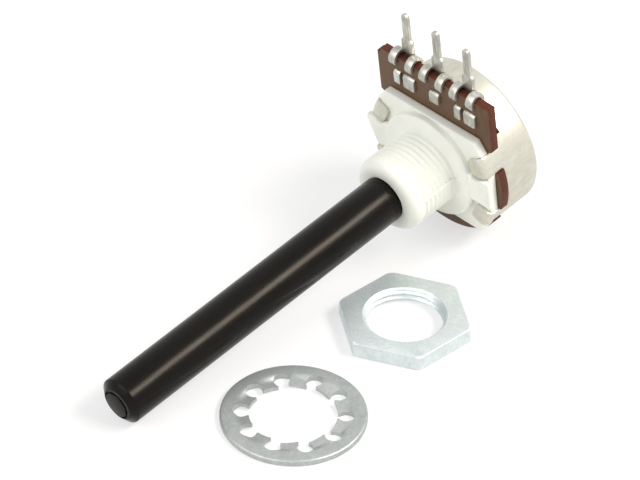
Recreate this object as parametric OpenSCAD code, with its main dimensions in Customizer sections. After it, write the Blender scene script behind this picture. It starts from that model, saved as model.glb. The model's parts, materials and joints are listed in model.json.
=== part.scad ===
// Rotary potentiometer with a long plastic shaft, lying on its side,
// with its own panel nut and lock washer laid on the same surface.
// The pot is built upright about its shaft: z runs forwards from the
// mounting face to the shaft's tip, y runs up to the pins, x to the right.
// Then it is laid down, so that the tip and the board's edge touch the surface.

/* [Shaft] */
// Diameter of the plastic shaft
shaft_d = 6; // [5:0.1:6.6]
// Length from the mounting face to the tip
shaft_reach = 52; // [44:1:70]
// Chamfer at the tip
tip_chamfer = 0.8; // [0.2:0.1:1]
// Diameter of the round gate mark on the tip
gate_d = 3.3; // [2:0.1:3.4]
// Width and depth of the groove round the gate mark
gate_groove = 0.25; // [0.1:0.05:0.3]
// Diameter of the thinner part that runs in the bush
journal_d = 5.6; // [5:0.1:5.6]
// Gap between the bush and the step where the shaft gets thinner
step_gap = 0.2; // [0.1:0.1:1]
// Radial running clearance of the shaft in the bush
shaft_clearance = 0.05; // [0.02:0.01:0.1]
// Width across the square end that drives the rotor
drive_w = 3.6; // [3:0.1:4]
// Diameter of the head that holds the rotor on
head_d = 5.4; // [5.3:0.1:5.6]
// Thickness of the head
head_thickness = 0.6; // [0.4:0.1:0.8]

/* [Bush and housing] */
// Outside diameter of the threaded bush
bush_d = 10; // [9:0.1:11]
// Length of the bush
bush_length = 6.3; // [5:0.1:10]
// Chamfer on the front of the bush
bush_chamfer = 0.5; // [0.2:0.1:1]
// Diameter of the round boss behind the mounting face
boss_d = 14.4; // [12:0.1:14.6]
// Height of the boss over the plate
boss_height = 1; // [0.8:0.1:2]
// Rounding of the boss's edge
boss_edge = 0.4; // [0.1:0.1:0.6]
// Thickness of the plate
plate_thickness = 1.2; // [0.8:0.1:2]
// How far the plate's sides stay inside the can's outside
plate_inset = 0.6; // [0.2:0.1:1]
// Height of the plate
plate_h = 14.6; // [13.8:0.1:15]
// Length of the plate's flat top and bottom edges
plate_flat = 14.8; // [13:0.1:16]
// Height of the plate's flat sides
plate_side = 8.4; // [7:0.1:9]
// How far the ears' ends stay inside the can's outside
ear_inset = 0; // [0:0.1:0.6]
// Height of the ears' upper edge over the axis
ear_top = 2.5; // [2:0.1:2.6]
// Depth of the ears' lower edge under the axis
ear_below = 1.5; // [1:0.1:1.8]
// Width of the slanted corner under the left ear
ear_slant_w = 1.4; // [0.5:0.1:2]
// Height of the slanted corner under the left ear
ear_slant_h = 3.4; // [1:0.1:3.6]
// How far the ears stay behind the mounting face
ear_drop = 0.2; // [0.1:0.1:0.5]

/* [Resistor board] */
// Thickness of the laminated board
board_thickness = 1.2; // [0.8:0.1:1.6]
// How far the board's round lower edge reaches past the can
board_rim = 0.2; // [0.1:0.1:0.6]
// How far the board's straight sides stay inside the can's outside
board_inset = 1; // [0.6:0.1:1.4]
// Height of the board's top edge over the axis
board_top = 12.7; // [12.2:0.1:13.4]
// Diameter of the hole round the rotor's collar
board_hole_d = 8; // [7.9:0.1:8.4]
// Size of the step in the board's upper left corner
corner_step = 0.6; // [0.3:0.1:1]

/* [Track and collector] */
// Middle radius of the carbon track
track_r = 7; // [6.8:0.1:7.2]
// Width of the carbon track
track_w = 1.6; // [1:0.1:1.8]
// Middle radius of the collector ring
collector_r = 4.8; // [4.7:0.1:4.9]
// Width of the collector ring
collector_w = 1; // [0.6:0.1:1.2]
// Thickness of the printed layers
film_thickness = 0.05; // [0.03:0.01:0.1]
// Angle of the gap between the ends of the track
track_gap = 60; // [50:1:66]
// Angle that each silver end pad covers
pad_angle = 14; // [8:1:16]
// Width of the printed leads to the terminals
lead_w = 1.6; // [1:0.1:2]

/* [Terminals] */
// Distance between the pins
pin_pitch = 5; // [4.8:0.1:5.2]
// Height of the pin tips over the axis
pin_top = 19.3; // [17:0.1:24]
// Width of a pin
pin_w = 1; // [0.8:0.1:1.2]
// Height of the stem over the board's top edge
stem_height = 2.2; // [1.4:0.1:3]
// How far the stem and the pin are set forwards above the board
pin_step = 0.25; // [0.1:0.05:0.4]
// Height over which the stem steps forwards
step_height = 0.6; // [0.4:0.1:1]
// Width of the stem below the pin
stem_w = 1.7; // [1.4:0.1:1.8]
// Thickness of the terminal sheet
terminal_thickness = 0.5; // [0.4:0.05:0.55]
// Width of an arm that hooks over the board's top edge
arm_w = 1.2; // [0.8:0.1:1.3]
// Distance of each arm from the middle of the terminal's body
arm_offset = 1.35; // [1.3:0.05:1.6]
// How far the terminal's body lies to the right of its pin
body_shift = 0.1; // [0:0.05:0.3]
// Depth of the arms' centre of curvature under the board's top edge
arm_sink = 0.35; // [0.2:0.05:0.5]
// Height over the axis at which the tabs come through the board
tab_slot_y = 10.6; // [10.2:0.1:10.7]
// Height over the axis of the lower ends of the clinched tabs
tab_end_y = 8.9; // [8.6:0.1:9.2]
// Width of the wide clinched tab
wide_tab_w = 1.8; // [1.4:0.1:1.9]
// Place of the wide tab to the right of its pin
wide_tab_x = 1.2; // [1:0.05:1.3]
// Width of the narrow clinched tab
narrow_tab_w = 1; // [0.7:0.1:1.1]
// Place of the narrow tab to the left of its pin
narrow_tab_x = 0.75; // [0.6:0.05:0.9]
// Width of the middle terminal's only tab
middle_tab_w = 1.5; // [1.2:0.1:1.9]
// Place of the middle terminal's tab to the right of its pin
middle_tab_x = 0.4; // [0:0.05:0.6]
// Thickness of the arms and the clinched tabs
tab_thickness = 0.45; // [0.3:0.05:0.5]
// Outside radius of the fold of a tab
tab_bend = 0.35; // [0.1:0.05:0.4]
// Clearance of a tab in its slot
slot_clearance = 0.05; // [0.02:0.01:0.1]

/* [Rear can] */
// Depth of the can behind the board
can_depth = 5.5; // [5.2:0.1:8]
// Thickness of the can's sheet
can_wall = 0.5; // [0.3:0.05:0.6]
// Outside radius of the can's rear edge
can_edge = 0.6; // [0.6:0.1:1.6]
// Width of a claw
claw_w = 2.8; // [2.6:0.1:3.2]
// Angle of each claw over or under the horizontal
claw_angle = 25; // [23:1:28]
// Gap between a claw's rounded end and the boss
claw_gap = 0.6; // [0.2:0.1:0.8]
// Radius of the corners of a claw's end
claw_corner = 0.7; // [0.6:0.1:1.3]
// Outside radius of the bend at a claw's shoulder
claw_bend = 0.8; // [0.5:0.1:0.9]
// Clearance between the claws and the notches that they pass
claw_clearance = 0.1; // [0.05:0.05:0.2]
// Angle of the can's mouth behind the terminals
mouth_angle = 101; // [94:1:104]
// Depth of the mouth
mouth_depth = 1.7; // [1.4:0.1:1.9]
// Gap between the end of the stop tongue and the rotor disc
tongue_gap = 0.4; // [0.3:0.1:0.6]
// Angle that the stop tongue covers
tongue_angle = 30; // [20:1:30]

/* [Rotor and wiper] */
// Diameter of the rotor disc
rotor_d = 15; // [14:0.1:15.2]
// Thickness of the rotor disc
rotor_thickness = 1; // [0.8:0.1:1.2]
// Gap between the board's rear face and the rotor disc
rotor_gap = 1.3; // [1.2:0.1:1.4]
// Diameter of the rotor's hub
hub_d = 6.4; // [6:0.1:6.8]
// Diameter of the hub's collar, which runs against the housing
collar_d = 7.6; // [7.2:0.1:7.8]
// Thickness of the collar
collar_thickness = 0.8; // [0.5:0.1:1]
// Angle that the rotor's stop lug covers
lug_angle = 28; // [20:1:29]
// Radial reach of the lug past the disc
lug_reach = 1; // [0.6:0.1:1.2]
// Gap between the lug and the can's wall
lug_room = 1.2; // [0.4:0.1:1.4]
// Clearance of the square end in the rotor
drive_clearance = 0.02; // [0.01:0.01:0.05]
// Thickness of the wiper sheet
wiper_thickness = 0.25; // [0.15:0.05:0.3]
// Width of each wiper finger
finger_w = 0.9; // [0.6:0.1:1]
// Length of the wiper fingers
finger_length = 3.2; // [2.4:0.1:3.6]
// Gap left between a wiper tip and the layer that it runs on
wiper_gap = 0.05; // [0.02:0.01:0.1]

/* [Panel nut] */
// Width of the nut across its flats
nut_af = 14.2; // [13:0.1:15]
// Thickness of the nut
nut_thickness = 2; // [1.6:0.1:3]
// Pitch of the thread on the bush and in the nut
thread_pitch = 0.75; // [0.5:0.05:1]
// Depth of the countersinks in the nut
nut_countersink = 0.5; // [0.2:0.05:0.6]
// Height of the corner chamfers on the nut
nut_corner = 0.45; // [0.2:0.05:0.6]
// Place of the nut to the right of the shaft
nut_x = 11.2; // [10:0.1:20]
// Place of the nut in front of the mounting face
nut_ahead = 15.1; // [12:0.1:18]
// Turn of the nut
nut_turn = 26.6; // [0:0.1:60]

/* [Lock washer] */
// Outside diameter of the lock washer
washer_d = 17.3; // [16.5:0.1:18]
// Thickness of the lock washer
washer_thickness = 0.8; // [0.6:0.1:1]
// Diameter between the tips of the teeth
washer_bore_d = 10.4; // [10.2:0.1:11]
// Diameter to which the slots between the teeth reach
washer_slot_d = 14.3; // [12.6:0.1:15]
// Number of teeth
tooth_count = 10; // [8:1:11]
// Width of a slot between two teeth
washer_slot_w = 2; // [1.4:0.1:2.2]
// Thickness of a tooth
tooth_thickness = 0.6; // [0.3:0.1:0.6]
// Twist of a tooth
tooth_twist = 8; // [0:1:12]
// Turn of the washer
washer_turn = 22; // [0:1:36]
// Place of the washer to the right of the shaft
washer_x = 13.6; // [12:0.1:20]
// Place of the washer in front of the mounting face
washer_ahead = 36.1; // [34:0.1:50]

/* [Hidden] */
$fn = 96;
eps = 0.01;

// Radii
shaft_r = shaft_d / 2;
journal_r = journal_d / 2;
bush_r = bush_d / 2;
boss_r = boss_d / 2;
rotor_r = rotor_d / 2;
can_inner_r = rotor_r + lug_reach + lug_room;
can_r = can_inner_r + can_wall;
board_r = can_r + board_rim;
claw_inner = boss_r + claw_gap;
// Inside radius of the thread in the nut
thread_inner_r = bush_r - 0.54 * thread_pitch;

// Half widths
plate_half = can_r - plate_inset;
ear_reach = can_r - ear_inset;
board_half = can_r - board_inset;

// Levels along the shaft
rim_front = shaft_reach - tip_chamfer;
journal_front = bush_length + step_gap;
plate_front = -boss_height;
board_front = plate_front - plate_thickness;
board_back = board_front - board_thickness;
film_back = board_back - film_thickness;
sheet_back = film_back - terminal_thickness;
can_back = board_back - can_depth;
collar_front = board_front - shaft_clearance;
collar_back = collar_front - collar_thickness;
rotor_front = board_back - rotor_gap;
rotor_back = rotor_front - rotor_thickness;

// The pot leans until its shaft's tip and its board touch the surface
tilt = atan((board_r - shaft_r) / (rim_front - board_front));
floor_z = -board_front * sin(tilt) - board_r * cos(tilt);

// Tabs of each terminal: place to the right of its pin, and width
outer_tabs = [[-narrow_tab_x, narrow_tab_w], [wide_tab_x, wide_tab_w]];
middle_tabs = [[middle_tab_x, middle_tab_w]];

// Angles of the track, with the gap at the top
track_middle = -90;
pad_middle = (track_gap + pad_angle) / 2;

// Colours
black_plastic = [0.10, 0.10, 0.10];
white_plastic = [0.91, 0.92, 0.88];
board_brown = [0.40, 0.26, 0.19];
carbon_black = [0.12, 0.12, 0.13];
silver_ink = [0.75, 0.75, 0.73];
tinned = [0.78, 0.76, 0.70];
grey_plastic = [0.35, 0.35, 0.34];
spring_metal = [0.80, 0.72, 0.50];
bright_zinc = [0.76, 0.80, 0.80];
dull_zinc = [0.65, 0.67, 0.66];

// Lays the upright pot down
module laid() {
    rotate([90 + tilt, 0, 0]) children();
}

// A slice of the plane, centred on an angle and reaching past radius r
module sector(r, middle, span) {
    steps = ceil(span / 20);
    far = r * 1.1;
    polygon(concat([[0, 0]], [for (i = [0:steps])
        let (a = middle - span / 2 + span * i / steps) [far * cos(a), far * sin(a)]]));
}

module arc_2d(outer, inner, middle, span) {
    intersection() {
        difference() {
            circle(outer);
            circle(inner);
        }
        sector(outer, middle, span);
    }
}

// Extrudes a shape drawn as height and level across a width along x
module across(width) {
    translate([-width / 2, 0, 0]) rotate([90, 0, 90]) linear_extrude(width) children();
}

// What a square corner loses to a rounding, with the corner at the origin
module corner_waste_2d(r) {
    difference() {
        translate([-r, -r]) square(r + eps);
        translate([-r, -r]) circle(r);
    }
}

// Shaft: rod with a chamfered tip, a thinner part for the bush,
// a square end for the rotor and a head that holds the rotor on
module shaft() {
    color(black_plastic) laid() {
        difference() {
            rotate_extrude() polygon([
                [0, collar_front], [journal_r, collar_front], [journal_r, journal_front],
                [shaft_r, journal_front], [shaft_r, rim_front],
                [shaft_r - tip_chamfer, shaft_reach], [0, shaft_reach]]);
            translate([0, 0, shaft_reach - gate_groove]) difference() {
                cylinder(h = 1, r = gate_d / 2 + gate_groove);
                translate([0, 0, -1]) cylinder(h = 3, r = gate_d / 2);
            }
        }
        translate([-drive_w / 2, -drive_w / 2, rotor_back - eps])
            cube([drive_w, drive_w, collar_front - rotor_back + 2 * eps]);
        translate([0, 0, rotor_back - head_thickness])
            cylinder(h = head_thickness, r1 = drive_w / 2, r2 = head_d / 2);
    }
}

module plate_2d() {
    flat = [plate_flat, plate_h] / 2;
    side = [plate_half, plate_side / 2];
    polygon([flat, side, [side[0], -side[1]], [flat[0], -flat[1]],
        -flat, -side, [-side[0], side[1]], [-flat[0], flat[1]]]);
}

// Ears that stand out beside the boss, the left one with a slanted corner
module ears_2d() {
    translate([0, -ear_below]) square([ear_reach, ear_top + ear_below]);
    polygon([[0, ear_top], [-ear_reach, ear_top], [-ear_reach, ear_slant_h - ear_below],
        [ear_slant_w - ear_reach, -ear_below], [0, -ear_below]]);
}

// Outlines of the four claws, seen from the front, with room round them
module claws_2d(room) {
    half = claw_w / 2 + room;
    corner = claw_corner;
    for (sx = [-1, 1], sy = [-1, 1]) scale([sx, 1]) rotate(sy * claw_angle)
        translate([claw_inner - room, 0]) {
            translate([corner, -half]) square([can_r, 2 * half]);
            translate([0, -half + corner]) square([can_r, 2 * (half - corner)]);
            for (side = [-1, 1]) translate([corner, side * (half - corner)]) circle(corner);
        }
}

// Notches in the plate and the board that the claws pass through
module claw_notches() {
    translate([0, 0, board_back - 1]) linear_extrude(board_thickness + plate_thickness + 1 + eps)
        difference() {
            claws_2d(claw_clearance);
            circle(can_inner_r - claw_clearance);
        }
}

// Housing: threaded bush, round boss and the plate with its two ears
module housing() {
    color(white_plastic) laid() difference() {
        union() {
            cylinder(h = bush_length - bush_chamfer, r = bush_r);
            translate([0, 0, bush_length - bush_chamfer])
                cylinder(h = bush_chamfer, r1 = bush_r, r2 = bush_r - bush_chamfer);
            rotate_extrude() difference() {
                translate([0, board_front]) square([boss_r, -board_front]);
                translate([boss_r, 0]) corner_waste_2d(boss_edge);
            }
            translate([0, 0, board_front]) linear_extrude(plate_thickness) plate_2d();
            translate([0, 0, plate_front - eps]) linear_extrude(boss_height - ear_drop + eps) difference() {
                ears_2d();
                claws_2d(claw_clearance);
            }
        }
        translate([0, 0, board_front - 1])
            cylinder(h = bush_length - board_front + 2, r = journal_r + shaft_clearance);
        claw_notches();
    }
}

// Board: round below, straight above, with slots for the tabs
module tab_slots_2d(x, tabs) {
    for (tab = tabs) translate([x + tab[0], tab_slot_y])
        square([tab[1] + 2 * slot_clearance, tab_thickness + 2 * slot_clearance], center = true);
}

module resistor_board() {
    color(board_brown) laid() difference() {
        translate([0, 0, board_back]) linear_extrude(board_thickness) difference() {
            union() {
                circle(board_r);
                translate([-board_half, 0]) square([2 * board_half, board_top]);
            }
            circle(board_hole_d / 2);
            translate([-board_half - 1, board_top - corner_step]) square(corner_step + 1);
            tab_slots_2d(-pin_pitch, outer_tabs);
            tab_slots_2d(0, middle_tabs);
            tab_slots_2d(pin_pitch, outer_tabs);
        }
        claw_notches();
    }
}

// Printed layers on the board's rear face
module printed_layer() {
    laid() translate([0, 0, film_back]) linear_extrude(film_thickness) children();
}

module track_2d(middle, span) {
    arc_2d(track_r + track_w / 2, track_r - track_w / 2, middle, span);
}

module lead_2d(x, from_y) {
    translate([x - lead_w / 2, from_y]) square([lead_w, tab_slot_y - 1 - from_y]);
}

module carbon_track() {
    color(carbon_black) printed_layer()
        track_2d(track_middle, 360 - track_gap - 2 * pad_angle);
}

module end_pad(side) {
    color(silver_ink) printed_layer() {
        track_2d(90 + side * pad_middle, pad_angle);
        lead_2d(-side * track_r * sin(pad_middle), track_r * cos(pad_middle));
    }
}

module left_end_pad() {
    end_pad(1);
}

module right_end_pad() {
    end_pad(-1);
}

module collector_ring() {
    color(silver_ink) printed_layer() {
        difference() {
            circle(collector_r + collector_w / 2);
            circle(collector_r - collector_w / 2);
        }
        lead_2d(0, collector_r);
    }
}

// Side view of an arm: a hook from behind the board over its top edge
module arm_2d() {
    middle = (board_front + board_back) / 2;
    hook_r = norm([board_thickness / 2 + film_thickness, arm_sink]);
    drop = acos(board_thickness / 2 / (hook_r + tab_thickness));
    difference() {
        translate([board_top - arm_sink, middle])
            arc_2d(hook_r + tab_thickness, hook_r, drop / 2, 180 + drop);
        translate([0, board_back]) square([board_top, board_thickness]);
    }
}

// Side view of a tab: through the board, then folded down on its front
module tab_2d() {
    top = tab_slot_y + tab_thickness / 2;
    face = board_front + tab_thickness;
    difference() {
        union() {
            translate([top - tab_thickness, sheet_back]) square([tab_thickness, face - sheet_back]);
            translate([tab_end_y, board_front]) square([top - tab_end_y, tab_thickness]);
        }
        translate([top, face]) corner_waste_2d(tab_bend);
    }
}

// Front view of the terminal's sheet: back plate, stem and round-ended pin
module terminal_2d() {
    body_half = arm_offset + arm_w / 2;
    stem_top = board_top + stem_height;
    translate([body_shift - body_half, tab_slot_y - 2])
        square([2 * body_half, board_top - arm_sink - tab_slot_y + 2]);
    translate([-stem_w / 2, tab_slot_y]) square([stem_w, stem_top - tab_slot_y]);
    translate([-pin_w / 2, tab_slot_y]) square([pin_w, pin_top - pin_w / 2 - tab_slot_y]);
    translate([0, pin_top - pin_w / 2]) circle(pin_w / 2);
}

// Side view of the terminal's sheet, stepped forwards above the board
module sheet_2d() {
    step_top = board_top + step_height;
    polygon([[0, sheet_back], [board_top, sheet_back], [step_top, sheet_back + pin_step],
        [pin_top + 1, sheet_back + pin_step], [pin_top + 1, film_back + pin_step],
        [step_top, film_back + pin_step], [board_top, film_back], [0, film_back]]);
}

// Section of the pin, with a ridge along the middle of its front
module pin_section_2d() {
    ridge = terminal_thickness * 0.35;
    polygon([[-pin_w / 2 - eps, -eps], [pin_w / 2 + eps, -eps], [pin_w / 2 + eps, terminal_thickness - ridge],
        [0, terminal_thickness], [-pin_w / 2 - eps, terminal_thickness - ridge]]);
}

module terminal(x, tabs) {
    color(tinned) laid() translate([x, 0, 0]) {
        difference() {
            intersection() {
                translate([0, 0, sheet_back - 1])
                    linear_extrude(terminal_thickness + pin_step + 2) terminal_2d();
                across(pin_pitch) sheet_2d();
            }
            translate([0, 0, sheet_back + pin_step]) difference() {
                translate([-stem_w, board_top + stem_height, -1])
                    cube([2 * stem_w, pin_top, terminal_thickness + 2]);
                translate([0, pin_top + 1, 0]) rotate([90, 0, 0]) linear_extrude(pin_top) pin_section_2d();
            }
        }
        for (side = [-1, 1]) translate([body_shift + side * arm_offset, 0, 0]) across(arm_w) arm_2d();
        for (tab = tabs) translate([tab[0], 0, 0]) across(tab[1]) tab_2d();
    }
}

module terminal_left() {
    terminal(-pin_pitch, outer_tabs);
}

module terminal_middle() {
    terminal(0, middle_tabs);
}

module terminal_right() {
    terminal(pin_pitch, outer_tabs);
}

// Rotor: disc with a stop lug and a hub whose collar runs in the board's hole
module rotor() {
    hole_w = drive_w + 2 * drive_clearance;
    color(grey_plastic) laid() difference() {
        union() {
            translate([0, 0, rotor_back]) cylinder(h = rotor_thickness, r = rotor_r);
            translate([0, 0, rotor_back]) cylinder(h = collar_back - rotor_back, r = hub_d / 2);
            translate([0, 0, collar_back]) cylinder(h = collar_thickness, r = collar_d / 2);
            translate([0, 0, rotor_back]) linear_extrude(rotor_thickness)
                arc_2d(rotor_r + lug_reach, rotor_r - lug_reach, track_middle, lug_angle);
        }
        translate([-hole_w / 2, -hole_w / 2, rotor_back - 1])
            cube([hole_w, hole_w, collar_front - rotor_back + 2]);
    }
}

// Side view of a finger: up from the sheet to a flat pad with a curled tip
module finger_2d() {
    base = rotor_front;
    tip = film_back - wiper_gap;
    thick = wiper_thickness;
    rise = finger_length * 0.8;
    pad = 0.35;
    curl = 2 * thick;
    polygon([[finger_length, base], [finger_length, base + thick], [rise, base + thick],
        [pad, tip], [-pad, tip], [-2 * pad, tip - curl], [-pad, tip - curl],
        [-pad / 2, tip - thick], [pad / 2, tip - thick], [rise - thick, base]]);
}

// Wiper: a sheet round the hub with two fingers that run on the layers
module wiper() {
    inner = hub_d / 2 + drive_clearance;
    anchor = finger_length * 0.8;
    color(spring_metal) laid() {
        translate([0, 0, rotor_front]) linear_extrude(wiper_thickness) {
            difference() {
                circle(inner + finger_w);
                circle(inner);
            }
            translate([anchor, -track_r - finger_w / 2])
                square([finger_length - anchor, track_r - collector_r + finger_w]);
            difference() {
                translate([0, -collector_r]) square([finger_length, finger_w]);
                circle(inner);
            }
        }
        for (r = [track_r, collector_r]) translate([0, finger_w / 2 - r, 0])
            rotate([90, 0, 0]) linear_extrude(finger_w) finger_2d();
    }
}

// Can: drawn cup with a mouth for the terminals, a stop tongue and four claws
module cup_2d(r, back, edge) {
    difference() {
        translate([0, back]) square([r, board_back - back]);
        translate([r, back]) mirror([0, 1]) corner_waste_2d(edge);
    }
}

module rear_can() {
    face = plate_front + can_wall;
    tongue_y = rotor_r + tongue_gap;
    tongue_half = tongue_y * sin(tongue_angle / 2);
    mouth_back = board_back - mouth_depth;
    color(tinned) laid() {
        difference() {
            rotate_extrude() difference() {
                cup_2d(can_r, can_back, can_edge);
                translate([0, eps]) cup_2d(can_inner_r, can_back + can_wall, can_edge - can_wall);
            }
            translate([0, 0, mouth_back]) linear_extrude(mouth_depth + 1) sector(can_r, 90, mouth_angle);
        }
        translate([-tongue_half, tongue_y, mouth_back - can_wall])
            cube([2 * tongue_half, can_inner_r + can_wall / 2 - tongue_y, can_wall]);
        intersection() {
            rotate_extrude() difference() {
                translate([claw_inner - 1, board_back - eps])
                    square([can_r - claw_inner + 1, face - board_back + eps]);
                translate([0, board_back - 1]) square([can_inner_r, plate_front - board_back + 1]);
                translate([can_r, face]) corner_waste_2d(claw_bend);
            }
            translate([0, 0, board_back - 1]) linear_extrude(face - board_back + 2) claws_2d(0);
        }
    }
}

// Nut: thin hexagon with chamfered corners and a countersunk hole
module hex_nut() {
    corner_r = nut_af / 2 / cos(30);
    face_r = nut_af / 2;
    color(bright_zinc) translate([nut_x, -nut_ahead, floor_z]) rotate(nut_turn) difference() {
        intersection() {
            cylinder(h = nut_thickness, r = corner_r, $fn = 6);
            rotate_extrude() polygon([[0, 0], [face_r, 0], [corner_r, nut_corner],
                [corner_r, nut_thickness - nut_corner], [face_r, nut_thickness], [0, nut_thickness]]);
        }
        translate([0, 0, -1]) cylinder(h = nut_thickness + 2, r = thread_inner_r);
        for (level = [0, nut_thickness]) translate([0, 0, level]) rotate_extrude() polygon([
            [0, -nut_countersink], [thread_inner_r, -nut_countersink],
            [thread_inner_r + nut_countersink, 0],
            [thread_inner_r, nut_countersink], [0, nut_countersink]]);
    }
}

// Washer: flat ring with round-ended slots between slightly twisted teeth
module lock_washer() {
    tip_r = washer_bore_d / 2;
    slot_r = washer_slot_w / 2;
    slot_centre = washer_slot_d / 2 - slot_r;
    ring_r = slot_centre + slot_r * 0.4;
    tip_half = tip_r * tan(180 / tooth_count) - slot_r;
    root_half = slot_centre * tan(180 / tooth_count) - slot_r;
    root_r = ring_r + tooth_thickness / 2;
    color(dull_zinc) translate([washer_x, -washer_ahead, floor_z]) rotate(washer_turn) {
        linear_extrude(washer_thickness) difference() {
            circle(washer_d / 2);
            circle(ring_r);
            for (i = [1:tooth_count]) rotate((i + 0.5) * 360 / tooth_count)
                translate([slot_centre, 0]) circle(slot_r);
        }
        for (i = [1:tooth_count]) rotate(i * 360 / tooth_count)
            translate([0, 0, washer_thickness / 2]) rotate([tooth_twist, 0, 0])
                linear_extrude(tooth_thickness, center = true) polygon([
                    [tip_r, -tip_half], [slot_centre, -root_half], [root_r, -root_half],
                    [root_r, root_half], [slot_centre, root_half], [tip_r, tip_half]]);
    }
}

shaft();
housing();
resistor_board();
carbon_track();
left_end_pad();
right_end_pad();
collector_ring();
terminal_left();
terminal_middle();
terminal_right();
rotor();
wiper();
rear_can();
hex_nut();
lock_washer();
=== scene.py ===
"""Rotary potentiometer lying on its side, with its panel nut and lock washer.

Each piece is modelled upright in millimetres, with the shaft along z and
the pins along y, and is then laid down to where the frame has it.
"""
import json
import math

import bmesh
import bpy
from mathutils import Matrix, Vector


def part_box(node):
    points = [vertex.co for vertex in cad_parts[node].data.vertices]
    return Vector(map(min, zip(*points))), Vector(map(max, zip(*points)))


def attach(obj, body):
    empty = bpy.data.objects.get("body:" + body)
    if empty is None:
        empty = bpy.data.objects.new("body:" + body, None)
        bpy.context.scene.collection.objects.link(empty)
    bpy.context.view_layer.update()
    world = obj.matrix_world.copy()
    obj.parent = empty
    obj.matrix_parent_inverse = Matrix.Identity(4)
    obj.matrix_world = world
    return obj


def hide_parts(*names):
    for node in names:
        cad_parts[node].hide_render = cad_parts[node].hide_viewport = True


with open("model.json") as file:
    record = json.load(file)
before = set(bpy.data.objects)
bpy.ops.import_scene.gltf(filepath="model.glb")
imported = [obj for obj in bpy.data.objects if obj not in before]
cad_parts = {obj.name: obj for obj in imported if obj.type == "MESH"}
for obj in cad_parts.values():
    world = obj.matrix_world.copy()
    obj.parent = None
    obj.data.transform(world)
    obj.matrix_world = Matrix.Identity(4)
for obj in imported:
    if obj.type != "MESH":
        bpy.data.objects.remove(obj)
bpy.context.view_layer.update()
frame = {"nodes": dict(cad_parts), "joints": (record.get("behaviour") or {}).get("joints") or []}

# Frame of the laid pot, from the axis of its only joint
forward = Vector(frame["joints"][0]["axis"])
tilt = math.asin(-forward.z)
LAID = Matrix.Rotation(math.pi / 2 + tilt, 4, "X") @ Matrix.Scale(0.001, 4)
floor_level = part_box("hex_nut")[0].z

# Shaft, in millimetres
SHAFT_R = 3.0
JOURNAL_R = 2.8
JOURNAL_BACK = -2.25
JOURNAL_FRONT = 7.5
SHAFT_REACH = 52.0
TIP_CHAMFER = 0.8
TIP_EDGE = 0.25
TIP_EDGE_DROP = 0.1
NOSE_EDGE = 0.15
SHOULDER_EDGE = 0.1
GATE_R = 1.64
GATE_RISE = 0.12
GATE_PLACE = (-0.15, -0.2)
GROOVE_W = 0.2
GROOVE_MOUTH_W = 0.26
GROOVE_DEPTH = 0.4
DRIVE_W = 3.6
DRIVE_EDGE = 0.1
HEAD_R = 2.7
HEAD_FRONT = -5.85
HEAD_BACK = -6.3
HEAD_LAP = 0.15

# Bush and housing
BUSH_R = 5.0
BUSH_LENGTH = 7.3
BUSH_NOSE = (1.1, 1.3)
BUSH_FOOT = 0.14
BORE_R = 2.85
BORE_EDGE = 0.12
BOSS_R = 7.2
BOSS_EDGE = 0.45
PLATE_FRONT = -1.0
PLATE_EDGE = 0.18
PLATE_OUTLINE = ((7.4, 7.3), (9.6, 4.2), (9.6, -4.2), (7.4, -7.3))
RIGHT_EAR = ((5.0, -1.5), (10.2, -1.5), (10.2, 2.5), (5.0, 2.5))
LEFT_EAR = ((-5.0, 2.5), (-10.2, 2.5), (-10.2, 1.9), (-8.8, -1.5), (-5.0, -1.5))
EAR_FRONT = -0.2
EAR_EDGE = 0.22
NOTCH_R = 9.6
THREAD_PITCH = 0.75
BUSH_THREAD_DEPTH = 0.2
THREAD_BACK = 0.1
THREAD_FRONT = 5.9

# Parting lines of the housing: inner and outer radius, back and front level
PARTING_TURN = 11.0
PARTING_HALF = 0.14
PARTING_EDGE = 0.08
PARTING_LINES = ((3.8, BUSH_R + 0.09, -0.5, 5.9), (5.3, BOSS_R - 0.15, -0.4, 0.09))

# Board, from its front face to its rear face
BOARD_FRONT = -2.2
BOARD_BACK = -3.4
BOARD_R = 10.4
BOARD_HALF = 9.2
BOARD_TOP = 12.7
BOARD_HOLE_R = 4.0
BOARD_EDGE = 0.06
CORNER_STEP = 0.6
SLOT_ROOM = 0.05

# Terminals; a tab has an offset along x, a width and the y at which it ends
PIN_PITCH = 5.0
PIN_TOP = 19.3
PIN_HALF = 0.5
PIN_POINT = 0.9
PIN_CREASE = 0.07
PIN_CREASE_HALF = 0.14
PIN_SIDE_DROP = 0.03
PIN_STEP = 0.25
STEM_HALF = 0.85
STEM_TOP = 15.2
SHEET = 0.5
SHEET_BACK = -3.95
SHEET_EDGE = 0.07
STRIP = 0.45
STRIP_EDGE = 0.05
BODY_SHIFT = 0.1
ARM_W = 1.05
ARM_OFFSET = 1.35
ARM_CENTRE = 12.35
ARM_LEVEL = -2.8
ARM_R = 0.96
ARM_TURN = 212
ARM_LEAD = 0.7
TAB_Y = 10.6
TAB_BEND = 0.25
TAB_ROOT = SHEET_BACK + 0.15
TAB_CORNER = (0.15, 0.12)
OUTER_TABS = ((-0.75, 1.0, 8.9), (1.2, 1.8, 8.9))
MIDDLE_TABS = ((0.4, 1.5, 9.2),)

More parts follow.
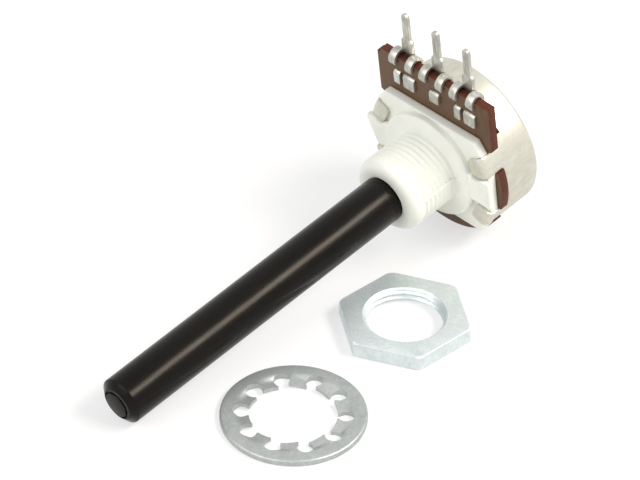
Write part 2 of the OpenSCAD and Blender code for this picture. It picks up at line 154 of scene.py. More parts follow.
# Can
CAN_R = 10.2
CAN_WALL = 0.5
CAN_EDGE = 0.6
CAN_RIM_EDGE = 0.08
CAN_BACK = -8.9
CLAW_W = 2.8
CLAW_ANGLE = 25.0
CLAW_TURNS = (CLAW_ANGLE, -CLAW_ANGLE, 180 + CLAW_ANGLE, 180 - CLAW_ANGLE)
CLAW_INNER = 7.8
CLAW_ROOT = BOARD_BACK - 0.6
CLAW_BEND = 0.6
CLAW_CORNER = 0.7
CLAW_EDGE = 0.09
CLAW_ROOM = 0.1
MOUTH_ANGLE = 101.0
MOUTH_BACK = -5.1
TONGUE_Y = 7.9
TONGUE_END = 9.8
TONGUE_HALF = 2.045
TONGUE_EDGE = 0.1

# Nut and washer
NUT_AF = 14.3
NUT_HEIGHT = 2.0
NUT_UPRIGHT_EDGE = 0.22
NUT_EDGE = 0.08
NUT_CORNER = (0.35, 0.25)
NUT_PLACE = (11.2, -15.1)
NUT_TURN = 26.6
NUT_BORE_R = 4.595
NUT_THREAD_DEPTH = 0.3
NUT_COUNTERSINK = 0.5
WASHER_R = 8.65
WASHER_HEIGHT = 0.8
WASHER_LOWER_EDGE = 0.12
WASHER_UPPER_EDGE = 0.28
WASHER_BORE_R = 5.2
WASHER_SLOT_PLACE = 6.15
WASHER_SLOT_R = 1.0
WASHER_NECK = 0.62
WASHER_PLACE = (13.6, -36.1)
WASHER_TURN = 22.0
TOOTH_COUNT = 10
TOOTH_TWIST = 10.0
TOOTH_THICKNESS = 0.5
TOOTH_FOLD = (6.2, 7.1)
WASHER_LOOPS = (5.5, 5.9, 6.2, 6.35, 6.5, 6.65, 6.8, 6.95, 7.1, 7.3)

# Camera, in degrees and metres
CAMERA_AZIMUTH = 44.606
CAMERA_ELEVATION = 38.7
CAMERA_ROLL = 0.627
CAMERA_TARGET = (-0.007603, -0.010541)
CAMERA_DISTANCE = 0.56
CAMERA_LENS = 258.3

# Floor, in metres, and the share of plain white in what is seen of it
FLOOR_HALF = 1.5
FLOOR_DROP = 0.00002
FLOOR_WHITE = 0.6

# Lights: direction, distance, size, watts and tint
LIGHTS = (
    ("back_softbox", (0.55, 0.36, 0.75), 0.7, (0.42, 0.2), 4.4, (1.0, 0.95, 0.88)),
    ("front_softbox", (-0.2, -0.9, 0.75), 0.8, (0.7, 0.6), 2.9, (1.0, 0.99, 0.97)),
)


# Mesh tools

SHARP_ANGLE = 30


def arc(centre, radius, start, end, steps):
    """Points on an arc, with its angles in degrees."""
    angles = [math.radians(start + (end - start) * i / steps) for i in range(steps + 1)]
    return [(centre[0] + radius * math.cos(a), centre[1] + radius * math.sin(a)) for a in angles]


def tidied(bm):
    bmesh.ops.remove_doubles(bm, verts=bm.verts, dist=0.0005)
    bmesh.ops.dissolve_degenerate(bm, edges=bm.edges, dist=0.0005)
    bmesh.ops.recalc_face_normals(bm, faces=bm.faces)
    return bm


def spun(profile, steps, closed=True):
    """A solid of revolution about z, from (radius, level) points."""
    bm = bmesh.new()
    verts = [bm.verts.new((r, 0, z)) for r, z in profile]
    pairs = zip(verts, verts[1:] + verts[:1]) if closed else zip(verts, verts[1:])
    edges = [bm.edges.new(pair) for pair in pairs]
    bmesh.ops.spin(bm, geom=verts + edges, cent=(0, 0, 0), axis=(0, 0, 1), dvec=(0, 0, 0),
                   angle=math.tau, steps=steps, use_merge=True)
    return tidied(bm)


def slab(outline, low, high):
    """A flat outline of (x, y) points, extruded from one level to another."""
    bm = bmesh.new()
    face = bm.faces.new([bm.verts.new((x, y, low)) for x, y in outline])
    raised = bmesh.ops.extrude_face_region(bm, geom=[face])["geom"]
    top = [g for g in raised if isinstance(g, bmesh.types.BMVert)]
    bmesh.ops.translate(bm, verts=top, vec=(0, 0, high - low))
    return tidied(bm)


def rounded(bm, edges, width, segments):
    bmesh.ops.bevel(bm, geom=edges, offset=width, offset_type="OFFSET", segments=segments,
                    profile=0.5, affect="EDGES", clamp_overlap=True, material=-1)
    return tidied(bm)


def softened(bm, width, segments=2):
    """Rounds every edge that is sharper than SHARP_ANGLE."""
    sharp = [e for e in bm.edges
             if e.is_manifold and e.calc_face_angle() > math.radians(SHARP_ANGLE)]
    return rounded(bm, sharp, width, segments)


def joined(*meshes):
    """One bmesh with the parts of several."""
    whole = bmesh.new()
    for part in meshes:
        scratch = bpy.data.meshes.new("scratch")
        part.to_mesh(scratch)
        part.free()
        whole.from_mesh(scratch)
        bpy.data.meshes.remove(scratch)
    return whole


def combined(first, second, operation):
    """The union, difference or intersection of two closed meshes."""
    objects = []
    for part in (first, second):
        mesh = bpy.data.meshes.new("scratch")
        part.to_mesh(mesh)
        part.free()
        obj = bpy.data.objects.new("scratch", mesh)
        bpy.context.scene.collection.objects.link(obj)
        objects.append(obj)
    modifier = objects[0].modifiers.new("combine", "BOOLEAN")
    modifier.operation = operation
    modifier.solver = "EXACT"
    modifier.use_self = True
    modifier.object = objects[1]
    result = bmesh.new()
    result.from_object(objects[0], bpy.context.evaluated_depsgraph_get())
    for obj in objects:
        bpy.data.meshes.remove(obj.data)
    return tidied(result)


def placed(bm, x=0.0, y=0.0, turn=0.0):
    bm.transform(Matrix.Translation((x, y, 0)) @ Matrix.Rotation(math.radians(turn), 4, "Z"))
    return bm


def flat(place, turn):
    """Where a thing that lies flat goes, from millimetres about its own middle."""
    return (Matrix.Translation((place[0] * 0.001, place[1] * 0.001, floor_level))
            @ Matrix.Rotation(math.radians(turn), 4, "Z") @ Matrix.Scale(0.001, 4))


def sliced(bm, levels, axis):
    """Cuts loops across a mesh at some places along x, y or z."""
    normal = [0, 0, 0]
    normal[axis] = 1
    for level in levels:
        bmesh.ops.bisect_plane(bm, geom=bm.verts[:] + bm.edges[:] + bm.faces[:], dist=0.0001,
                               plane_co=[n * level for n in normal], plane_no=normal)
    return bm


def smooth_step(low, high, value):
    t = min(max((value - low) / (high - low), 0.0), 1.0)
    return t * t * (3 - 2 * t)


def along(route, start, heading, distance):
    """Place and heading after some distance on a route of (length, turn) legs."""
    u, v, angle = start[0], start[1], math.radians(heading)
    for index, (length, turn) in enumerate(route):
        step = distance if index == len(route) - 1 else min(distance, length)
        bend = math.radians(turn) / length
        if bend:
            u += (math.sin(angle + bend * step) - math.sin(angle)) / bend
            v -= (math.cos(angle + bend * step) - math.cos(angle)) / bend
        else:
            u += math.cos(angle) * step
            v += math.sin(angle) * step
        angle += bend * step
        distance -= step
        if distance <= 0:
            break
    return u, v, angle


def strip(outline, thickness, loops, edge=STRIP_EDGE):
    """A flat bar with its length along y, rounded and cut for folding."""
    bm = softened(slab(outline, -thickness / 2, thickness / 2), edge)
    low, high = min(p[1] for p in outline), max(p[1] for p in outline)
    return sliced(bm, [low + (high - low) * i / loops for i in range(1, loops)], 1)


def folded(bm, route, start, heading):
    """Bends a flat bar along a route in the plane of y and z."""
    for vert in bm.verts:
        y, z, angle = along(route, start, heading, vert.co.y)
        vert.co = (vert.co.x, y - math.sin(angle) * vert.co.z, z + math.cos(angle) * vert.co.z)
    return tidied(bm)


def threaded(bm, radius, depth, low, high, sign=-1, run_out=0.5):
    """Moves the skin of a cylinder in or out along a right-hand helix."""
    for vert in bm.verts:
        x, y, z = vert.co
        r = math.hypot(x, y)
        if abs(r - radius) > 0.001 or not low <= z <= high:
            continue
        phase = z / THREAD_PITCH - math.atan2(y, x) / math.tau
        ends = smooth_step(low, low + run_out, z) * (1 - smooth_step(high - run_out, high, z))
        wanted = r + sign * depth * ends * (0.5 + 0.5 * math.cos(math.tau * phase))
        vert.co.x *= wanted / r
        vert.co.y *= wanted / r
    return bm


# Materials

def node(tree, kind, settings=None, inputs=None):
    """Adds a shader node, with its settings and its values or links."""
    made = tree.nodes.new(kind)
    for name, value in (settings or {}).items():
        setattr(made, name, value)
    for name, value in (inputs or {}).items():
        if isinstance(value, bpy.types.NodeSocket):
            tree.links.new(value, made.inputs[name])
        else:
            made.inputs[name].default_value = value
    return made


def ramp(tree, factor, stops):
    """Turns a value into colours or greys at some stops."""
    made = node(tree, "ShaderNodeValToRGB", inputs={"Fac": factor})
    elements = made.color_ramp.elements
    while len(elements) < len(stops):
        elements.new(0.5)
    for element, (place, tone) in zip(elements, stops):
        element.position = place
        element.color = (*tone, 1) if isinstance(tone, tuple) else (tone, tone, tone, 1)
    return made.outputs["Color"]


def blended(tree, factor, first, second, kind="MIX"):
    made = tree.nodes.new("ShaderNodeMix")
    made.data_type = "RGBA"
    made.blend_type = kind
    for index, value in ((0, factor), (6, first), (7, second)):
        if isinstance(value, bpy.types.NodeSocket):
            tree.links.new(value, made.inputs[index])
        else:
            made.inputs[index].default_value = (*value, 1) if isinstance(value, tuple) else value
    return made.outputs[2]


def grain(tree, place, scale, detail=4.0, roughness=0.6, stretch=(1, 1, 1), distortion=0.0):
    """Noise of so many waves per millimetre, stretched along some axes."""
    scaled = node(tree, "ShaderNodeMapping", inputs={"Vector": place, "Scale": stretch})
    made = node(tree, "ShaderNodeTexNoise", inputs={
        "Vector": scaled.outputs[0], "Scale": scale, "Detail": detail, "Roughness": roughness,
        "Distortion": distortion})
    return made.outputs[0]


def upright(tree):
    """Millimetres along the pot's own axes, as it stood before it was laid down."""
    source = node(tree, "ShaderNodeTexCoord").outputs["Object"]
    turned = node(tree, "ShaderNodeMapping", inputs={
        "Vector": source, "Rotation": (-(math.pi / 2 + tilt), 0, 0), "Scale": (1000, 1000, 1000)})
    return turned.outputs[0]


def lying(tree, place, turn):
    """Millimetres from the middle of a thing that lies flat."""
    source = node(tree, "ShaderNodeTexCoord").outputs["Object"]
    moved = node(tree, "ShaderNodeMapping", inputs={
        "Vector": source, "Scale": (1000, 1000, 1000),
        "Location": (-place[0], -place[1], -floor_level * 1000)})
    turned = node(tree, "ShaderNodeMapping", inputs={
        "Vector": moved.outputs[0], "Rotation": (0, 0, -math.radians(turn))})
    return turned.outputs[0]


def finished(colour, roughness, height, depth, metallic=0.0, **sockets):
    """Joins a colour, a roughness and a height in millimetres into a surface."""
    tree = colour.id_data
    shader = tree.nodes.new("ShaderNodeBsdfPrincipled")
    tree.links.new(colour, shader.inputs["Base Color"])
    tree.links.new(roughness, shader.inputs["Roughness"])
    shader.inputs["Metallic"].default_value = metallic
    for key, value in sockets.items():
        shader.inputs[key.replace("_", " ")].default_value = value
    bump = node(tree, "ShaderNodeBump", inputs={"Height": height, "Distance": depth * 0.001})
    tree.links.new(bump.outputs[0], shader.inputs["Normal"])
    output = tree.nodes.new("ShaderNodeOutputMaterial")
    tree.links.new(shader.outputs[0], output.inputs["Surface"])


def new_tree(name):
    made = bpy.data.materials.new(name)
    made.use_nodes = True
    made.node_tree.nodes.clear()
    return made, made.node_tree


def white_plastic():
    made, tree = new_tree("white_plastic")
    place = upright(tree)
    cloud = grain(tree, place, 0.22, 3)
    colour = ramp(tree, cloud, ((0.3, (0.80, 0.81, 0.745)), (0.7, (0.86, 0.865, 0.80))))
    fine = grain(tree, place, 5.0, 5)
    finished(colour, ramp(tree, fine, ((0.3, 0.38), (0.7, 0.52))), fine, 0.006,
             Specular_IOR_Level=0.45)
    return made


def black_plastic():
    made, tree = new_tree("black_plastic")
    place = upright(tree)
    cloud = grain(tree, place, 0.5, 4, stretch=(1, 1, 0.25))
    colour = ramp(tree, cloud, ((0.3, (0.0025, 0.0023, 0.0022)), (0.7, (0.0055, 0.005, 0.0045))))
    streaks = grain(tree, place, 2.2, 5, stretch=(1, 1, 0.12))
    fine = grain(tree, place, 9.0, 4)
    uneven = blended(tree, 0.4, streaks, fine)
    finished(colour, ramp(tree, streaks, ((0.3, 0.20), (0.7, 0.30))), uneven, 0.006,
             Specular_IOR_Level=0.15, Specular_Tint=(1.0, 0.9, 0.8, 1.0))
    return made


def board_face():
    made, tree = new_tree("board_face")
    place = upright(tree)
    fibres = grain(tree, place, 1.6, 6, 0.65, stretch=(1, 0.35, 1))
    specks = grain(tree, place, 9.0, 4)
    tone = blended(tree, 0.35, fibres, specks)
    colour = ramp(tree, tone, ((0.3, (0.090, 0.047, 0.024)), (0.7, (0.145, 0.081, 0.042))))
    finished(colour, ramp(tree, tone, ((0.3, 0.42), (0.7, 0.58))), tone, 0.012,
             Specular_IOR_Level=0.3)
    return made


def board_edge():
    made, tree = new_tree("board_edge")
    place = upright(tree)
    layers = grain(tree, place, 0.9, 5, 0.7, stretch=(0.5, 0.5, 7))
    torn = grain(tree, place, 3.5, 5)
    tone = blended(tree, 0.35, layers, torn)
    colour = ramp(tree, tone, ((0.32, (0.03, 0.008, 0.004)), (0.55, (0.10, 0.026, 0.012)),
                               (0.75, (0.17, 0.058, 0.028))))
    finished(colour, ramp(tree, tone, ((0.3, 0.5), (0.7, 0.75))), tone, 0.05,
             Specular_IOR_Level=0.25)
    return made


def grained(name, scale, detail, dark, light, low, high, depth, metallic=0.0, stretch=(1, 1, 1)):
    """A surface whose colour, roughness and height follow one noise."""
    made, tree = new_tree(name)
    grains = grain(tree, upright(tree), scale, detail, stretch=stretch)
    colour = ramp(tree, grains, ((0.3, dark), (0.7, light)))
    finished(colour, ramp(tree, grains, ((0.3, low), (0.7, high))), grains, depth, metallic)
    return made


def tinned(name, place_of, stretch, dark, light, low, high, depth, metallic):
    """Plated metal: rolling marks, cloudy plating and fine pits."""
    made, tree = new_tree(name)
    place = place_of(tree)
    marks = grain(tree, place, 3.0, 6, 0.65, stretch=stretch)
    cloud = grain(tree, place, 0.55, 4, 0.6, distortion=0.6)
    pits = grain(tree, place, 11.0, 3)
    tone = blended(tree, 0.5, cloud, marks)
    colour = ramp(tree, tone, ((0.35, dark), (0.62, light)))
    gloss = ramp(tree, tone, ((0.35, high), (0.65, low)))
    finished(colour, gloss, blended(tree, 0.35, marks, pits), depth, metallic)
    return made


# Pieces

def piece(bm, name, place, materials, body, nodes, pick=None, smooth=32):
    """Makes the finished object and ties it to the frame."""
    tidied(bm)
    if pick:
        for face in bm.faces:
            face.material_index = pick(face)
    bm.transform(place)
    mesh = bpy.data.meshes.new(name)
    bm.to_mesh(mesh)
    bm.free()
    for finish in materials:
        mesh.materials.append(finish)
    mesh.shade_smooth()
    mesh.set_sharp_from_angle(angle=math.radians(smooth))
    obj = bpy.data.objects.new(name, mesh)
    bpy.context.scene.collection.objects.link(obj)
    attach(obj, body)
    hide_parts(*nodes)


def make_shaft(finish):
    rim = SHAFT_REACH - TIP_CHAMFER
    end = SHAFT_REACH - GATE_RISE
    shoulder = arc((SHAFT_R - SHOULDER_EDGE, JOURNAL_FRONT + SHOULDER_EDGE),
                   SHOULDER_EDGE, -90, 0, 3)
    tip = arc((SHAFT_R - TIP_EDGE, rim - TIP_EDGE_DROP), TIP_EDGE, 0, 42, 4)
    nose = arc((SHAFT_R - TIP_CHAMFER - NOSE_EDGE, end - NOSE_EDGE), NOSE_EDGE, 45, 90, 3)
    body = spun([(0, JOURNAL_BACK), (JOURNAL_R, JOURNAL_BACK), (JOURNAL_R, JOURNAL_FRONT)]
                + shoulder + [(SHAFT_R, z) for z in (15, 25, 35, 45)] + tip + nose
                + [(0, end)], 128, False)
    gate = arc((GATE_R - GATE_RISE, SHAFT_REACH - GATE_RISE), GATE_RISE, 0, 90, 3)
    button = placed(spun([(0, SHAFT_REACH - 1), (GATE_R, SHAFT_REACH - 1)] + gate
                         + [(0, SHAFT_REACH)], 64, False), *GATE_PLACE)
    groove_r, above = GATE_R - 0.02, SHAFT_REACH + 0.2
    groove = placed(spun([(groove_r, SHAFT_REACH - GROOVE_DEPTH),
                          (GATE_R + GROOVE_W, SHAFT_REACH - GROOVE_DEPTH),
                          (GATE_R + GROOVE_MOUTH_W, above), (groove_r, above)], 64), *GATE_PLACE)
    body = combined(body, groove, "DIFFERENCE")
    body = combined(body, button, "UNION")
    drive = bmesh.new()
    back, front = HEAD_FRONT, JOURNAL_BACK + HEAD_LAP
    bmesh.ops.create_cube(drive, size=1, matrix=Matrix.Translation((0, 0, (back + front) / 2))
                          @ Matrix.Diagonal((DRIVE_W, DRIVE_W, front - back, 1)))
    body = combined(body, softened(drive, DRIVE_EDGE), "UNION")
    head = spun([(0, HEAD_BACK), (DRIVE_W / 2, HEAD_BACK), (HEAD_R, HEAD_FRONT),
                 (HEAD_R - 0.1, HEAD_FRONT + HEAD_LAP), (0, HEAD_FRONT + HEAD_LAP)], 48, False)
    body = combined(body, head, "UNION")
    piece(body, "round_shaft", LAID, [finish], "rotor", ["shaft"])


def claw_outline():
    """The room that a claw needs, seen from the front, on the right of the axis."""
    half, inner = CLAW_W / 2 + CLAW_ROOM, CLAW_INNER - CLAW_ROOM
    return ([(inner + 6, -half), (inner + 6, half)]
            + arc((inner + CLAW_CORNER, half - CLAW_CORNER), CLAW_CORNER, 90, 180, 6)
            + arc((inner + CLAW_CORNER, CLAW_CORNER - half), CLAW_CORNER, 180, 270, 6))


def claw_blocks(low, high):
    """Room for the four claws, from one level to another."""
    return joined(*[placed(slab(claw_outline(), low, high), turn=turn) for turn in CLAW_TURNS])


def claw_notches():
    """What the plate and the board leave open for the claws."""
    back, front = BOARD_BACK - 2, 1
    core = spun([(0, back), (NOTCH_R, back), (NOTCH_R, front), (0, front)], 96, False)
    return combined(claw_blocks(BOARD_BACK - 1, PLATE_FRONT + 0.01), core, "DIFFERENCE")


def bush_profile():
    """Bush, boss and bore as one closed section."""
    count = int((THREAD_FRONT - THREAD_BACK) / THREAD_PITCH * 10)
    thread = [(BUSH_R, THREAD_BACK + (THREAD_FRONT - THREAD_BACK) * i / count)
              for i in range(count + 1)]
    nose_r, nose_length = BUSH_NOSE
    nose = [(BUSH_R - nose_r + nose_r * x, BUSH_LENGTH - nose_length + nose_length * y)
            for x, y in arc((0, 0), 1, 0, 90, 10)]
    return ([(BORE_R, BOARD_FRONT), (BOSS_R - 0.02, BOARD_FRONT)]
            + arc((BOSS_R - BOSS_EDGE, -BOSS_EDGE), BOSS_EDGE, 0, 90, 6)
            + [(BUSH_R + BUSH_FOOT, 0)] + thread + nose
            + arc((BORE_R + BORE_EDGE, BUSH_LENGTH - BORE_EDGE), BORE_EDGE, 90, 180, 2))


def make_housing(finish):
    bush = threaded(spun(bush_profile(), 256), BUSH_R, BUSH_THREAD_DEPTH, THREAD_BACK, THREAD_FRONT)
    outline = list(PLATE_OUTLINE) + [(-x, y) for x, y in PLATE_OUTLINE[::-1]]
    plate = softened(slab(outline, BOARD_FRONT, PLATE_FRONT), PLATE_EDGE, 3)
    ears = joined(*[softened(slab(ear, PLATE_FRONT - 0.02, EAR_FRONT), EAR_EDGE, 3)
                    for ear in (RIGHT_EAR, LEFT_EAR)])
    ears = combined(ears, claw_blocks(PLATE_FRONT - 1, 1), "DIFFERENCE")
    plate = combined(plate, ears, "UNION")
    bore_r = BORE_R + 0.5
    bore = spun([(0, -4), (bore_r, -4), (bore_r, 1), (0, 1)], 96, False)
    plate = combined(plate, bore, "DIFFERENCE")
    plate = combined(plate, claw_notches(), "DIFFERENCE")
    housing = combined(bush, plate, "UNION")
    half = PARTING_HALF
    lines = [placed(softened(slab([(near, -half), (reach, -half), (reach, half), (near, half)],
                                  low, high), PARTING_EDGE, 3), turn=turn)
             for turn in (PARTING_TURN, 180 + PARTING_TURN)
             for near, reach, low, high in PARTING_LINES]
    housing = combined(housing, joined(*lines), "UNION")
    piece(housing, "bush_and_plate", LAID, [finish], "base", ["housing"],
          smooth=38)


def make_board(face_finish, edge_finish):
    corner = math.degrees(math.acos(BOARD_HALF / BOARD_R))
    step_x, step_y = -BOARD_HALF + CORNER_STEP, BOARD_TOP - CORNER_STEP
    outline = ([(step_x, BOARD_TOP), (step_x, step_y), (-BOARD_HALF, step_y)]
               + arc((0, 0), BOARD_R, 180 - corner, 360 + corner, 96)
               + [(BOARD_HALF, BOARD_TOP)])
    board = softened(slab(outline, BOARD_BACK, BOARD_FRONT), BOARD_EDGE)
    holes = [spun([(0, -5), (BOARD_HOLE_R, -5), (BOARD_HOLE_R, 0), (0, 0)], 96, False)]
    for x, tabs in ((-PIN_PITCH, OUTER_TABS), (0, MIDDLE_TABS), (PIN_PITCH, OUTER_TABS)):
        for offset, width, _ in tabs:
            half, high = width / 2 + SLOT_ROOM, STRIP / 2 + SLOT_ROOM
            slot = slab([(-half, -high), (half, -high), (half, high), (-half, high)], -5, 0)
            holes.append(placed(slot, x + offset, TAB_Y))
    board = combined(board, joined(*holes), "DIFFERENCE")
    board = combined(board, claw_notches(), "DIFFERENCE")
    piece(board, "laminated_board", LAID, [face_finish, edge_finish], "base", ["resistor_board"],
          pick=lambda face: int(abs(face.normal.z) < 0.6))


def terminal_sheet():
    """The flat back plate with its stem and its creased, round-ended pin."""
    body_half = ARM_OFFSET + ARM_W / 2
    body = [(body_half, TAB_Y - 2), (body_half, ARM_CENTRE)]
    stem = [(STEM_HALF, ARM_CENTRE + 0.1), (STEM_HALF, STEM_TOP - 0.15), (PIN_HALF, STEM_TOP + 0.2)]
    tip = arc((0, PIN_TOP - PIN_HALF), PIN_HALF, 0, 180, 10)
    outline = ([(x + BODY_SHIFT, y) for x, y in body] + stem + tip
               + [(-x, y) for x, y in stem[::-1]] + [(BODY_SHIFT - x, y) for x, y in body[::-1]])
    bm = softened(slab(outline, SHEET_BACK, SHEET_BACK + SHEET), SHEET_EDGE)
    sliced(bm, (-PIN_CREASE_HALF, 0, PIN_CREASE_HALF), 0)
    sliced(bm, (STEM_TOP - 0.5, STEM_TOP, STEM_TOP + 0.5, PIN_TOP - PIN_POINT, PIN_TOP - 0.4), 1)
    sliced(bm, [BOARD_TOP + 0.1 * i for i in range(8)], 1)
    middle = SHEET_BACK + SHEET / 2
    for vert in bm.verts:
        x, y, z = vert.co
        crease = (smooth_step(STEM_TOP - 0.5, STEM_TOP + 0.5, y)
                  * smooth_step(PIN_TOP, PIN_TOP - PIN_POINT, y))
        if abs(x) < 0.1 and z > middle:
            vert.co.z -= PIN_CREASE * crease
        if abs(x) > 0.2:
            vert.co.z -= PIN_SIDE_DROP * crease * (abs(x) / PIN_HALF)
        vert.co.z += PIN_STEP * smooth_step(BOARD_TOP, BOARD_TOP + 0.6, y)
    return bm


def terminal_arms():
    """Two bars that lie on the board's front and turn over its top edge."""
    half, bend = ARM_W / 2, math.radians(ARM_TURN) * ARM_R
    length = ARM_LEAD + bend
    arms = []
    for side in (-1, 1):
        bar = strip([(-half, 0), (half, 0), (half, length), (-half, length)], STRIP, 26)
        folded(bar, ((ARM_LEAD, 0), (bend, ARM_TURN)),
               (ARM_CENTRE - ARM_LEAD, ARM_LEVEL - ARM_R), 0)
        arms.append(placed(bar, x=BODY_SHIFT + side * ARM_OFFSET))
    return arms


def terminal_tabs(tabs):
    """Bars from the sheet through the board, turned down on its front."""
    through = BOARD_FRONT + STRIP / 2 - TAB_BEND - TAB_ROOT
    side, end = TAB_CORNER
    bars = []
    for offset, width, low in tabs:
        route = ((through, 0), (TAB_BEND * math.pi / 2, 90), (TAB_Y - TAB_BEND - low, 0))
        length, half = sum(leg[0] for leg in route), width / 2
        bar = strip([(-half, 0), (half, 0), (half, length - end), (half - side, length),
                     (-half + side, length), (-half, length - end)], STRIP, 22)
        bars.append(placed(folded(bar, route, (TAB_Y, TAB_ROOT), 90), x=offset))
    return bars


def make_terminal(name, x, tabs, finish):
    strips = joined(*terminal_arms(), *terminal_tabs(tabs))
    solid = combined(terminal_sheet(), strips, "UNION")
    piece(placed(solid, x=x), name, LAID, [finish], "base", [name])


def make_claw(turn):
    """One claw: a bar up the can's side, bent over and laid on the plate."""
    wall = CAN_R - CAN_WALL / 2
    rise = PLATE_FRONT + CAN_WALL / 2 - CLAW_BEND - CLAW_ROOT
    route = ((rise, 0), (CLAW_BEND * math.pi / 2, 90), (wall - CLAW_BEND - CLAW_INNER, 0))
    length = sum(leg[0] for leg in route)
    half, corner = CLAW_W / 2, CLAW_CORNER
    outline = ([(-half, 0), (half, 0)] + arc((half - corner, length - corner), corner, 0, 90, 6)
               + arc((corner - half, length - corner), corner, 90, 180, 6))
    bar = strip(outline, CAN_WALL, 40, CLAW_EDGE)
    sliced(bar, [half * k / 3 for k in (-2, -1, 0, 1, 2)], 0)
    for vert in bar.verts:
        z, inward, angle = along(route, (CLAW_ROOT, 0), 0, vert.co.y)
        z += math.sin(angle) * vert.co.z
        radius = wall - inward + math.cos(angle) * vert.co.z
        y = vert.co.x
        round_x = math.sqrt(CAN_R ** 2 - y ** 2)
        x = CLAW_INNER + (radius - CLAW_INNER) * (round_x - CLAW_INNER) / (CAN_R - CLAW_INNER)
        vert.co = (x, y, z)
    return placed(tidied(bar), turn=turn)


def make_can(finish):
    inner_r, inner_back = CAN_R - CAN_WALL, CAN_BACK + CAN_WALL
    inner_edge, rim_edge = CAN_EDGE - CAN_WALL, CAN_RIM_EDGE
    outer = arc((CAN_R - CAN_EDGE, CAN_BACK + CAN_EDGE), CAN_EDGE, -90, 0, 8)
    inner = arc((inner_r - inner_edge, inner_back + inner_edge), inner_edge, -90, 0, 6)
    rim = (arc((CAN_R - rim_edge, BOARD_BACK - rim_edge), rim_edge, 0, 90, 2)
           + arc((inner_r + rim_edge, BOARD_BACK - rim_edge), rim_edge, 90, 180, 2))
    cup = spun([(0, CAN_BACK)] + outer + rim + inner[::-1] + [(0, inner_back)], 144, False)
    half, far = math.radians(MOUTH_ANGLE / 2), 14.0
    wedge = slab([(0, 0), (far * math.sin(half), far * math.cos(half)), (0, far * 1.3),
                  (-far * math.sin(half), far * math.cos(half))], MOUTH_BACK, 0)
    cup = combined(cup, wedge, "DIFFERENCE")
    tongue = softened(slab([(-TONGUE_HALF, TONGUE_Y), (TONGUE_HALF, TONGUE_Y),
                            (TONGUE_HALF, TONGUE_END), (-TONGUE_HALF, TONGUE_END)],
                           MOUTH_BACK - CAN_WALL, MOUTH_BACK - 0.01), TONGUE_EDGE)
    can = combined(cup, joined(tongue, *[make_claw(turn) for turn in CLAW_TURNS]), "UNION")
    piece(can, "clawed_can", LAID, [finish], "base", ["rear_can"], smooth=35)


def make_nut(finish):
    corner_r = NUT_AF / 2 / math.cos(math.pi / 6)
    hexagon = slab(arc((0, 0), corner_r, 0, 300, 5), 0, NUT_HEIGHT)
    upright_edges = [e for e in hexagon.edges if abs(e.verts[0].co.z - e.verts[1].co.z) > 1]
    hexagon = softened(rounded(hexagon, upright_edges, NUT_UPRIGHT_EDGE, 4), NUT_EDGE, 3)
    inward, down = NUT_CORNER
    outside = corner_r + 0.05
    cone = spun([(0, 0), (corner_r - inward, 0), (outside, down), (outside, NUT_HEIGHT - down),
                 (corner_r - inward, NUT_HEIGHT), (0, NUT_HEIGHT)], 144, False)
    body = combined(hexagon, cone, "INTERSECT")
    past = 0.3
    count = int((NUT_HEIGHT + 2 * past) / THREAD_PITCH * 12)
    wall = [(NUT_BORE_R, -past + (NUT_HEIGHT + 2 * past) * i / count) for i in range(count + 1)]
    core = spun([(0, -past)] + wall + [(0, NUT_HEIGHT + past)], 128, False)
    threaded(core, NUT_BORE_R, NUT_THREAD_DEPTH, -past, NUT_HEIGHT + past, sign=1, run_out=0.01)
    body = combined(body, core, "DIFFERENCE")
    wide = NUT_BORE_R + NUT_COUNTERSINK
    sinks = [spun([(0, z - side * 0.01), (wide + 0.05, z - side * 0.01), (wide, z),
                   (NUT_BORE_R, z + side * NUT_COUNTERSINK), (0, z + side * NUT_COUNTERSINK)],
                  96, False) for z, side in ((0, 1), (NUT_HEIGHT, -1))]
    body = combined(body, joined(*sinks), "DIFFERENCE")
    piece(body, "panel_nut", flat(NUT_PLACE, NUT_TURN), [finish], "base", ["hex_nut"],
          smooth=25)


def make_washer(finish):
    pitch = math.radians(360 / TOOTH_COUNT)
    low, high = WASHER_LOWER_EDGE, WASHER_UPPER_EDGE
    rim = (arc((WASHER_R - low, low), low, -90, 0, 3)
           + arc((WASHER_R - high, WASHER_HEIGHT - high), high, 0, 90, 6))
    plain = spun([(WASHER_BORE_R, 0)] + [(r, 0) for r in WASHER_LOOPS] + rim
                 + [(r, WASHER_HEIGHT) for r in WASHER_LOOPS[::-1]]
                 + [(WASHER_BORE_R, WASHER_HEIGHT)], 240)
    opening = 180 - math.degrees(math.asin(WASHER_NECK / WASHER_SLOT_R))
    keyhole = ([(2, -WASHER_NECK)]
               + arc((WASHER_SLOT_PLACE, 0), WASHER_SLOT_R, -opening, opening, 20)
               + [(2, WASHER_NECK)])
    slots = [placed(slab(keyhole, -1, 2), turn=(i + 0.5) * 360 / TOOTH_COUNT)
             for i in range(TOOTH_COUNT)]
    ring = combined(plain, joined(*slots), "DIFFERENCE")
    middle = WASHER_HEIGHT / 2
    for vert in ring.verts:
        x, y, z = vert.co
        turn = round(math.atan2(y, x) / pitch) * pitch
        aside = y * math.cos(turn) - x * math.sin(turn)
        bend = 1 - smooth_step(*TOOTH_FOLD, math.hypot(x, y))
        z = middle + (z - middle) * (1 - bend * (1 - TOOTH_THICKNESS / WASHER_HEIGHT))
        vert.co.z = max(z + bend * aside * math.tan(math.radians(TOOTH_TWIST)), 0.0)
    bmesh.ops.triangulate(ring, faces=ring.faces)
    piece(ring, "toothed_washer", flat(WASHER_PLACE, WASHER_TURN), [finish], "base",
          ["lock_washer"])


# Camera, floor and lights

